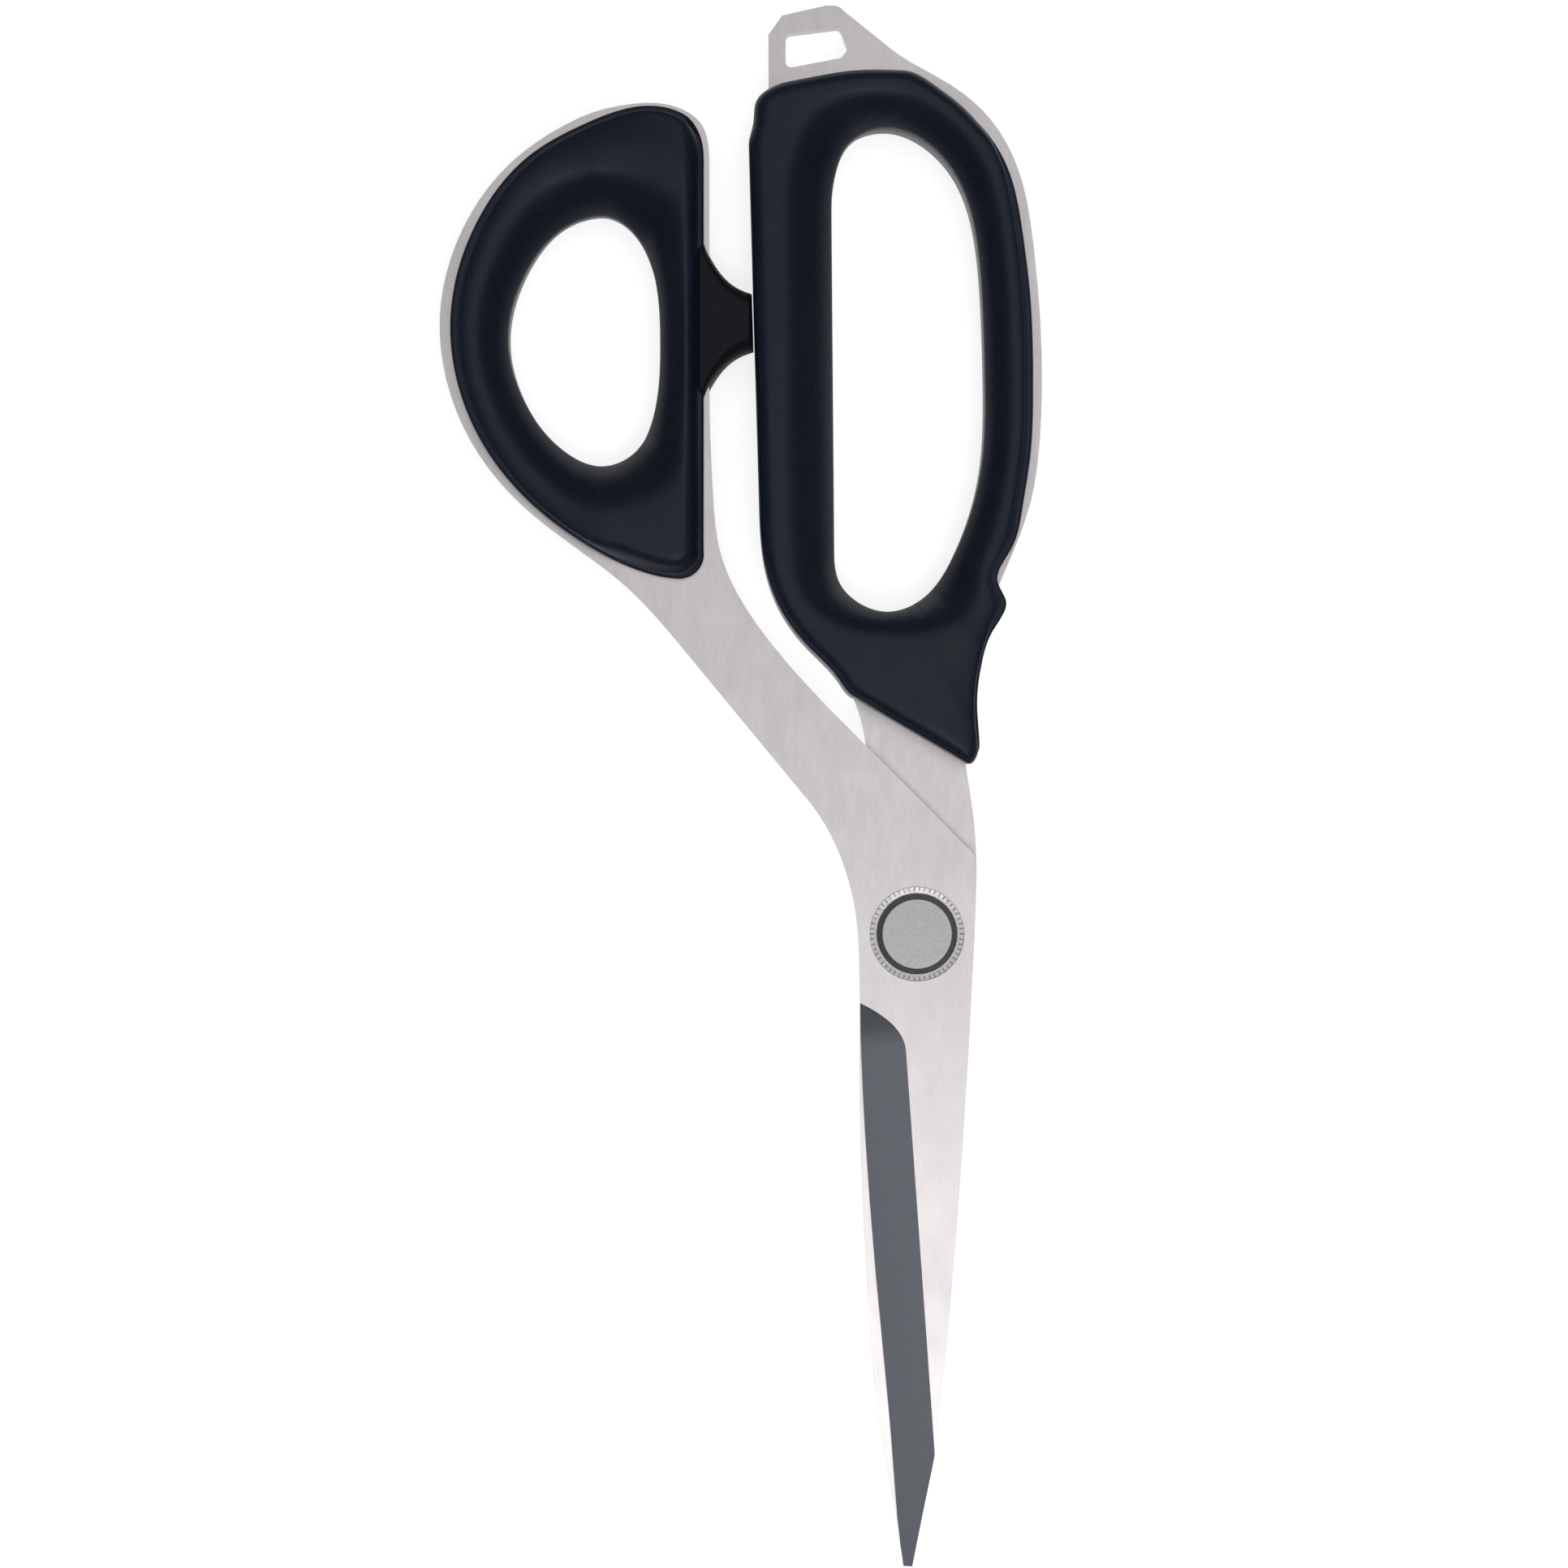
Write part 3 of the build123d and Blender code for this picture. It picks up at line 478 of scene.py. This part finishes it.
class Nodes:
    """A material's node tree, with short calls to add and join nodes."""

    def __init__(self, name):
        self.material = bpy.data.materials.new(name)
        self.material.use_nodes = True
        self.tree = self.material.node_tree
        self.tree.nodes.clear()
        self.shader = self.add("ShaderNodeBsdfPrincipled")
        output = self.add("ShaderNodeOutputMaterial")
        self.join(self.shader.outputs[0], output.inputs["Surface"])

    def add(self, kind, **values):
        """A node, with its properties and its input values set by name."""
        node = self.tree.nodes.new(kind)
        for key, value in values.items():
            name = key.replace("_", " ")
            if name in node.inputs:
                node.inputs[name].default_value = value
            else:
                setattr(node, key, value)
        return node

    def join(self, source, target):
        """A link from an output to an input."""
        self.tree.links.new(source, target)

    def set(self, **values):
        """Values on the shader itself."""
        for key, value in values.items():
            self.shader.inputs[key.replace("_", " ")].default_value = value

    def place(self, stretch=(1, 1, 1)):
        """Object coordinates, stretched."""
        coords = self.add("ShaderNodeTexCoord")
        mapping = self.add("ShaderNodeMapping")
        mapping.inputs["Scale"].default_value = stretch
        self.join(coords.outputs["Object"], mapping.inputs["Vector"])
        return mapping.outputs["Vector"]

    def noise(self, place, scale, detail=3.0, roughness=0.5):
        """A noise value from 0 to 1."""
        node = self.add("ShaderNodeTexNoise", Scale=scale, Detail=detail, Roughness=roughness)
        self.join(place, node.inputs["Vector"])
        return node.outputs["Fac"]

    def ranged(self, value, low, high, from_low=0.0, from_high=1.0):
        """A value taken from one range to another."""
        node = self.add("ShaderNodeMapRange")
        for name, v in (("From Min", from_low), ("From Max", from_high), ("To Min", low), ("To Max", high)):
            node.inputs[name].default_value = v
        self.join(value, node.inputs["Value"])
        return node.outputs["Result"]

    def math(self, operation, a, b):
        """A sum, product or other operation of two values."""
        node = self.add("ShaderNodeMath", operation=operation)
        for socket, value in zip(node.inputs, (a, b)):
            if isinstance(value, (int, float)):
                socket.default_value = value
            else:
                self.join(value, socket)
        return node.outputs[0]

    def mix(self, factor, a, b):
        """A colour between two colours or colour outputs."""
        node = self.add("ShaderNodeMix", data_type="RGBA")
        self.join(factor, node.inputs[0])
        for socket, value in ((node.inputs[6], a), (node.inputs[7], b)):
            if isinstance(value, tuple):
                socket.default_value = value
            else:
                self.join(value, socket)
        return node.outputs[2]

    def bump(self, height, distance, strength=1.0, under=None):
        """A bump normal, over another one if given."""
        node = self.add("ShaderNodeBump", Strength=strength, Distance=distance)
        self.join(height, node.inputs["Height"])
        if under is not None:
            self.join(under, node.inputs["Normal"])
        return node.outputs["Normal"]


def blade_steel():
    """Satin stainless plate with a faint lengthwise grain; the ground bevel is darker and finer."""
    m = Nodes("blade_steel")
    coords = m.add("ShaderNodeTexCoord")
    split = m.add("ShaderNodeSeparateXYZ")
    m.join(coords.outputs["Normal"], split.inputs[0])
    upright = m.math("ABSOLUTE", split.outputs["Z"], 0.0)
    least, most = BEVEL_UPRIGHT
    ground = m.math("MULTIPLY", m.math("LESS_THAN", upright, most), m.math("GREATER_THAN", upright, least))
    grain = m.noise(m.place((1, 0.06, 1)), 5200, 4.0, 0.6)
    mottle = m.noise(m.place((1, 0.35, 1)), 420, 3.0, 0.6)
    cloud = m.noise(m.place((1, 1, 1)), 60, 2.0, 0.5)
    tone = m.math("ADD", m.math("MULTIPLY", grain, 0.35), m.math("MULTIPLY", mottle, 0.65))
    face = m.mix(m.ranged(tone, 0, 1, 0.3, 0.7), *BLADE_TONES)
    wheel = m.noise(m.place((0.05, 1, 1)), 5200, 3.0, 0.6)
    bevel = m.mix(m.ranged(wheel, 0, 1, 0.3, 0.7), *BEVEL_TONES)
    m.join(m.mix(ground, face, bevel), m.shader.inputs["Base Color"])
    rough_face = m.ranged(m.math("ADD", m.math("MULTIPLY", mottle, 0.5), m.math("MULTIPLY", cloud, 0.5)),
                          0.28, 0.38, 0.3, 0.7)
    rough = m.add("ShaderNodeMix", data_type="FLOAT")
    m.join(ground, rough.inputs[0])
    m.join(rough_face, rough.inputs[2])
    rough.inputs[3].default_value = BEVEL_ROUGH
    m.join(rough.outputs[0], m.shader.inputs["Roughness"])
    depth = m.math("MULTIPLY", m.math("SUBTRACT", 1.0, m.math("MULTIPLY", ground, 0.85)), tone)
    m.join(m.bump(depth, 0.00003, 0.35), m.shader.inputs["Normal"])
    m.set(Metallic=1.0)
    return m.material


def turned_steel(name, low, high, rough):
    """Fine turned steel with a faint mottle."""
    m = Nodes(name)
    spots = m.noise(m.place(), 2200, 4.0, 0.65)
    fine = m.noise(m.place(), 4000, 3.0, 0.6)
    m.join(m.mix(m.ranged(spots, 0, 1, 0.3, 0.7), low, high), m.shader.inputs["Base Color"])
    m.join(m.ranged(fine, rough - 0.05, rough + 0.06, 0.3, 0.7), m.shader.inputs["Roughness"])
    m.join(m.bump(fine, 0.00002, 0.3), m.shader.inputs["Normal"])
    m.set(Metallic=1.0)
    return m.material


def moulded(name, dark, light, rough, grain_scale, grain_depth, shine):
    """A moulded polymer: a faint clouding of tone, and a fine spark-eroded grain."""
    m = Nodes(name)
    cloud = m.noise(m.place(), 90, 4.0, 0.6)
    grain = m.noise(m.place(), grain_scale, 3.0, 0.6)
    soft = m.noise(m.place(), 260, 2.0, 0.5)
    tone = m.math("ADD", m.math("MULTIPLY", cloud, 0.4), m.math("MULTIPLY", grain, 0.6))
    m.join(m.mix(m.ranged(tone, 0, 1, 0.35, 0.65), dark, light), m.shader.inputs["Base Color"])
    m.join(m.ranged(grain, rough - 0.05, rough + 0.07, 0.3, 0.7), m.shader.inputs["Roughness"])
    under = m.bump(soft, 0.00006, 0.25)
    m.join(m.bump(grain, grain_depth, 0.6, under), m.shader.inputs["Normal"])
    m.shader.inputs["Specular IOR Level"].default_value = shine
    return m.material


def floor_material():
    """A pale surface that glows, so that it renders white and shadows on it stay faint."""
    m = Nodes("pale_floor")
    m.set(Base_Color=(0.8, 0.8, 0.8, 1), Roughness=0.9)
    m.set(Emission_Color=(1, 1, 1, 1), Emission_Strength=FLOOR_GLOW)
    m.shader.inputs["Specular IOR Level"].default_value = 0.0
    return m.material


# ---- stage ----

def floor(z):
    """A round pale floor under the grips."""
    bm = bmesh.new()
    bmesh.ops.create_circle(bm, cap_ends=True, segments=128, radius=FLOOR_R)
    mesh = bpy.data.meshes.new("floor")
    bm.to_mesh(mesh)
    bm.free()
    piece = bpy.data.objects.new("floor", mesh)
    bpy.context.scene.collection.objects.link(piece)
    piece.location = (VIEW_X, VIEW_Y, z)
    mesh.materials.append(floor_material())


def area_light(name, place, size, power):
    """A softbox that faces straight down."""
    data = bpy.data.lights.new(name, "AREA")
    data.shape = "RECTANGLE"
    data.size, data.size_y = size
    data.energy = power
    light = bpy.data.objects.new(name, data)
    light.location = place
    bpy.context.scene.collection.objects.link(light)


def studio():
    """Camera straight above, a softbox overhead and a small one past the tips, and a room that is
    bright up to the horizon, dark above it and a little lighter overhead."""
    data = bpy.data.cameras.new("camera")
    data.sensor_width = SENSOR_MM
    data.lens = SENSOR_MM * CAMERA_UP / VIEW_SIDE
    data.clip_start, data.clip_end = 0.01, 50
    camera = bpy.data.objects.new("camera", data)
    camera.location = (VIEW_X, VIEW_Y, CAMERA_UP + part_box("thumb_blade")[0].z)
    bpy.context.scene.collection.objects.link(camera)
    bpy.context.scene.camera = camera
    area_light("softbox", SOFTBOX_AT, SOFTBOX_SIDES, SOFTBOX_POWER)
    area_light("blade_light", BLADE_LIGHT_AT, BLADE_LIGHT_SIDES, BLADE_LIGHT_POWER)
    world = bpy.data.worlds.new("room")
    world.use_nodes = True
    tree = world.node_tree
    coords = tree.nodes.new("ShaderNodeTexCoord")
    split = tree.nodes.new("ShaderNodeSeparateXYZ")
    ramp = tree.nodes.new("ShaderNodeValToRGB")
    tree.links.new(coords.outputs["Generated"], split.inputs[0])
    tree.links.new(split.outputs["Z"], ramp.inputs["Fac"])
    tree.links.new(ramp.outputs["Color"], tree.nodes["Background"].inputs["Color"])
    stops = ramp.color_ramp.elements
    stops[0].position, stops[0].color = 0.0, ROOM_DOWN
    stops[1].position, stops[1].color = 1.0, ROOM_UP
    for place, level in ROOM_BETWEEN:
        stop = stops.new(place)
        stop.color = (level, level, level * ROOM_BLUE, 1)
    bpy.context.scene.world = world
    bpy.context.scene.view_settings.view_transform = "Standard"


def dress(node, material, edge=None):
    """A CAD node with its finish, and its sharp edges broken if a width in millimetres is given."""
    piece = nodes[node]
    piece.data.materials.clear()
    piece.data.materials.append(material)
    if edge:
        bevel = piece.modifiers.new("broken_edges", "BEVEL")
        bevel.width = edge * MM
        bevel.segments = 2
        bevel.limit_method = "ANGLE"
        bevel.angle_limit = math.radians(35)
        bevel.harden_normals = True


def main():
    """The stage, then every piece with its finish."""
    studio()
    floor(cad_low.z)
    steel = blade_steel()
    for blade in ("thumb_blade", "finger_blade"):
        dress(blade, steel, EDGE_BREAK)
    turned = turned_steel("pivot_steel", *PIVOT_TONES, 0.36)
    dress("pivot_nut", turned)
    dress("tension_screw", turned)
    washer = turned_steel("washer_steel", *WASHER_TONES, 0.3)
    dress("serrated_washer", washer)
    spring = turned_steel("spring_steel", *SPRING_TONES, 0.3)
    dress("disc_spring", spring)
    polymer = moulded("washer_polymer", *POLYMER_TONES, 0.45, 2500, 0.00002, 0.4)
    dress("thrust_washer", polymer)
    cover = moulded("grip_cover", *GRIP_TONES, 0.37, 2400, 0.00004, 0.20)
    core = moulded("grip_core", *GRIP_TONES, 0.37, 2100, 0.00003, 0.20)
    rubber = moulded("stop_rubber", *STOP_TONES, 0.5, 1500, 0.0001, 0.12)
    thumb = ("thumb_blade", "closing_stop")
    finger = ("finger_blade", None)
    grip_core("thumb_grip_core", *thumb, "thumb_grip_cover", "thumb_side", core)
    grip_core("finger_grip_core", *finger, "finger_grip_cover", "finger_side", core)
    grip_cover("thumb_grip_cover", "thumb_grip_core", *thumb, THUMB_CRESTS, "thumb_side", cover)
    grip_cover("finger_grip_cover", "finger_grip_core", *finger, FINGER_CRESTS, "finger_side", cover)
    closing_stop(rubber)


main()
